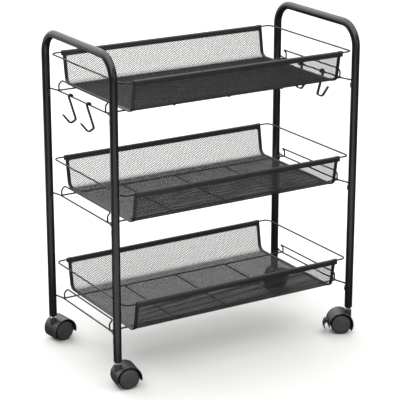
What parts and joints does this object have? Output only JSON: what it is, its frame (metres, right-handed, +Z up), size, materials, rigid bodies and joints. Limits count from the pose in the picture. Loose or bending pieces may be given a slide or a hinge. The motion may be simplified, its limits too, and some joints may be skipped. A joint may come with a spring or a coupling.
{
  "type": "rolling utility cart",
  "caption": "Narrow rolling cart with bent-tube side frames, tiers of open-ended mesh trays on wire end rails, hanging hooks and hooded casters.",
  "frame": {"origin": "on the floor, under the middle of the whole cart's box, the casters included", "axes": "+X along the trays from the left side frame to the right, +Y from the front to the back, +Z up"},
  "size_m": [0.5675, 0.3272, 0.6163],
  "materials": {
    "powder_coat": "black powder coat, semi-gloss",
    "coated_wire": "black coated wire, semi-gloss",
    "mesh_steel": "black coated expanded steel, satin",
    "nylon_plug": "black moulded, satin",
    "hood_plastic": "black moulded, satin",
    "wheel_plastic": "black moulded, satin",
    "zinc": "zinc plated, bright"
  },
  "bodies": {
    "cart_frame": {"base_wire_lower_front": "coated_wire", "base_wire_lower_rear": "coated_wire", "base_wire_middle_front": "coated_wire", "base_wire_middle_rear": "coated_wire", "base_wire_upper_front": "coated_wire", "base_wire_upper_rear": "coated_wire", "cross_wire_lower_left": "coated_wire", "cross_wire_lower_middle": "coated_wire", "cross_wire_lower_right": "coated_wire", "cross_wire_middle_left": "coated_wire", "cross_wire_middle_middle": "coated_wire", "cross_wire_middle_right": "coated_wire", "cross_wire_upper_left": "coated_wire", "cross_wire_upper_middle": "coated_wire", "cross_wire_upper_right": "coated_wire", "end_frame_lower_left": "coated_wire", "end_frame_lower_right": "coated_wire", "end_frame_middle_left": "coated_wire", "end_frame_middle_right": "coated_wire", "end_frame_upper_left": "coated_wire", "end_frame_upper_right": "coated_wire", "leg_plug_front_left": "nylon_plug", "leg_plug_front_right": "nylon_plug", "leg_plug_rear_left": "nylon_plug", "leg_plug_rear_right": "nylon_plug", "mesh_tray_lower": "mesh_steel", "mesh_tray_middle": "mesh_steel", "mesh_tray_upper": "mesh_steel", "rim_wire_lower": "coated_wire", "rim_wire_middle": "coated_wire", "rim_wire_upper": "coated_wire", "side_frame_left": "powder_coat", "side_frame_right": "powder_coat"},
    "caster_front_left": {"caster_hood_front_left": "hood_plastic", "caster_stem_front_left": "zinc", "caster_axle_front_left": "zinc"},
    "wheel_front_left_inner": {"wheel_front_left_inner": "wheel_plastic"},
    "wheel_front_left_outer": {"wheel_front_left_outer": "wheel_plastic"},
    "caster_front_right": {"caster_hood_front_right": "hood_plastic", "caster_stem_front_right": "zinc", "caster_axle_front_right": "zinc"},
    "wheel_front_right_inner": {"wheel_front_right_inner": "wheel_plastic"},
    "wheel_front_right_outer": {"wheel_front_right_outer": "wheel_plastic"},
    "brake_front_right": {"brake_lever_front_right": "hood_plastic"},
    "caster_rear_left": {"caster_hood_rear_left": "hood_plastic", "caster_stem_rear_left": "zinc", "caster_axle_rear_left": "zinc"},
    "wheel_rear_left_inner": {"wheel_rear_left_inner": "wheel_plastic"},
    "wheel_rear_left_outer": {"wheel_rear_left_outer": "wheel_plastic"},
    "caster_rear_right": {"caster_hood_rear_right": "hood_plastic", "caster_stem_rear_right": "zinc", "caster_axle_rear_right": "zinc"},
    "wheel_rear_right_inner": {"wheel_rear_right_inner": "wheel_plastic"},
    "wheel_rear_right_outer": {"wheel_rear_right_outer": "wheel_plastic"},
    "hook_left_rear": {"hook_left_rear": "coated_wire"},
    "hook_left_front": {"hook_left_front": "coated_wire"},
    "hook_right_rear": {"hook_right_rear": "coated_wire"},
    "hook_right_front": {"hook_right_front": "coated_wire"}
  },
  "joints": [
    {"name": "swivel_front_left", "type": "hinge", "parent": "cart_frame", "child": "caster_front_left", "pos_m": [-0.2722, -0.1369, 0.05], "axis": [0, 0, 1], "continuous": true},
    {"name": "roll_front_left_inner", "type": "hinge", "parent": "caster_front_left", "child": "wheel_front_left_inner", "pos_m": [-0.25644, -0.13968, 0.02], "axis": [0.1736, 0.9848, 0], "continuous": true},
    {"name": "roll_front_left_outer", "type": "hinge", "parent": "caster_front_left", "child": "wheel_front_left_outer", "pos_m": [-0.25644, -0.13968, 0.02], "axis": [0.1736, 0.9848, 0], "continuous": true},
    {"name": "swivel_front_right", "type": "hinge", "parent": "cart_frame", "child": "caster_front_right", "pos_m": [0.2398, -0.1369, 0.05], "axis": [0, 0, 1], "continuous": true},
    {"name": "roll_front_right_inner", "type": "hinge", "parent": "caster_front_right", "child": "wheel_front_right_inner", "pos_m": [0.22542, -0.12989, 0.02], "axis": [-0.4384, -0.8988, 0], "continuous": true},
    {"name": "roll_front_right_outer", "type": "hinge", "parent": "caster_front_right", "child": "wheel_front_right_outer", "pos_m": [0.22542, -0.12989, 0.02], "axis": [-0.4384, -0.8988, 0], "continuous": true},
    {"name": "brake_front_right", "type": "hinge", "parent": "caster_front_right", "child": "brake_front_right", "pos_m": [0.20187, -0.1184, 0.025], "axis": [0.4384, 0.8988, 0], "range_deg": [0, 9]},
    {"name": "swivel_rear_left", "type": "hinge", "parent": "cart_frame", "child": "caster_rear_left", "pos_m": [-0.2722, 0.1231, 0.05], "axis": [0, 0, 1], "continuous": true},
    {"name": "roll_rear_left_inner", "type": "hinge", "parent": "caster_rear_left", "child": "wheel_rear_left_inner", "pos_m": [-0.25629, 0.12477, 0.02], "axis": [-0.1045, 0.9945, 0], "continuous": true},
    {"name": "roll_rear_left_outer", "type": "hinge", "parent": "caster_rear_left", "child": "wheel_rear_left_outer", "pos_m": [-0.25629, 0.12477, 0.02], "axis": [-0.1045, 0.9945, 0], "continuous": true},
    {"name": "swivel_rear_right", "type": "hinge", "parent": "cart_frame", "child": "caster_rear_right", "pos_m": [0.2398, 0.1231, 0.05], "axis": [0, 0, 1], "continuous": true},
    {"name": "roll_rear_right_inner", "type": "hinge", "parent": "caster_rear_right", "child": "wheel_rear_right_inner", "pos_m": [0.25241, 0.13295, 0.02], "axis": [-0.6157, 0.788, 0], "continuous": true},
    {"name": "roll_rear_right_outer", "type": "hinge", "parent": "caster_rear_right", "child": "wheel_rear_right_outer", "pos_m": [0.25241, 0.13295, 0.02], "axis": [-0.6157, 0.788, 0], "continuous": true},
    {"name": "swing_left_rear", "type": "hinge", "parent": "cart_frame", "child": "hook_left_rear", "pos_m": [-0.2662, 0.0371, 0.5035], "axis": [0, 1, 0], "range_deg": [-45, 45]},
    {"name": "swing_left_front", "type": "hinge", "parent": "cart_frame", "child": "hook_left_front", "pos_m": [-0.2662, -0.0329, 0.5035], "axis": [0, 1, 0], "range_deg": [-45, 45]},
    {"name": "swing_right_rear", "type": "hinge", "parent": "cart_frame", "child": "hook_right_rear", "pos_m": [0.2338, 0.0311, 0.5035], "axis": [0, 1, 0], "range_deg": [-45, 45]},
    {"name": "swing_right_front", "type": "hinge", "parent": "cart_frame", "child": "hook_right_front", "pos_m": [0.2338, -0.0389, 0.5035], "axis": [0, 1, 0], "range_deg": [-45, 45]}
  ]
}
